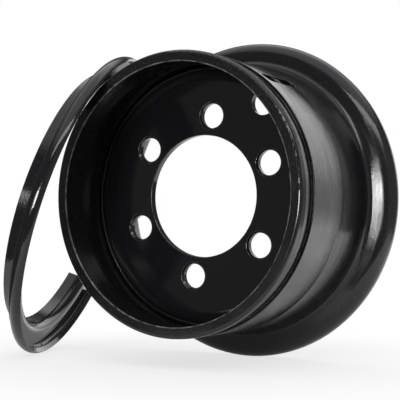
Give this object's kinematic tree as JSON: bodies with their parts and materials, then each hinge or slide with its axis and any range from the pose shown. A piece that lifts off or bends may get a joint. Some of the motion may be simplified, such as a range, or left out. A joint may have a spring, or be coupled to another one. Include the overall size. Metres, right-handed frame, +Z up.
{
  "type": "steel wheel",
  "caption": "Multi-piece industrial steel wheel: deep rim base with a gutter and a rolled back flange, welded bolt-on disc, and a loose split side ring leaning on it.",
  "frame": {"origin": "on the wheel's axis, at the disc's hub face and the centre of the bolt circle", "axes": "+Y along the wheel's axis, from the open front towards the hub, +Z up, +X to the right when seen from the front"},
  "size_m": [0.557, 0.4275, 0.4538],
  "materials": {
    "black_paint": "gloss",
    "painted_weld": "gloss"
  },
  "bodies": {
    "root": {"rim_base": "black_paint", "wheel_disc": "black_paint", "disc_weld": "painted_weld", "side_ring": "black_paint"}
  },
  "joints": []
}
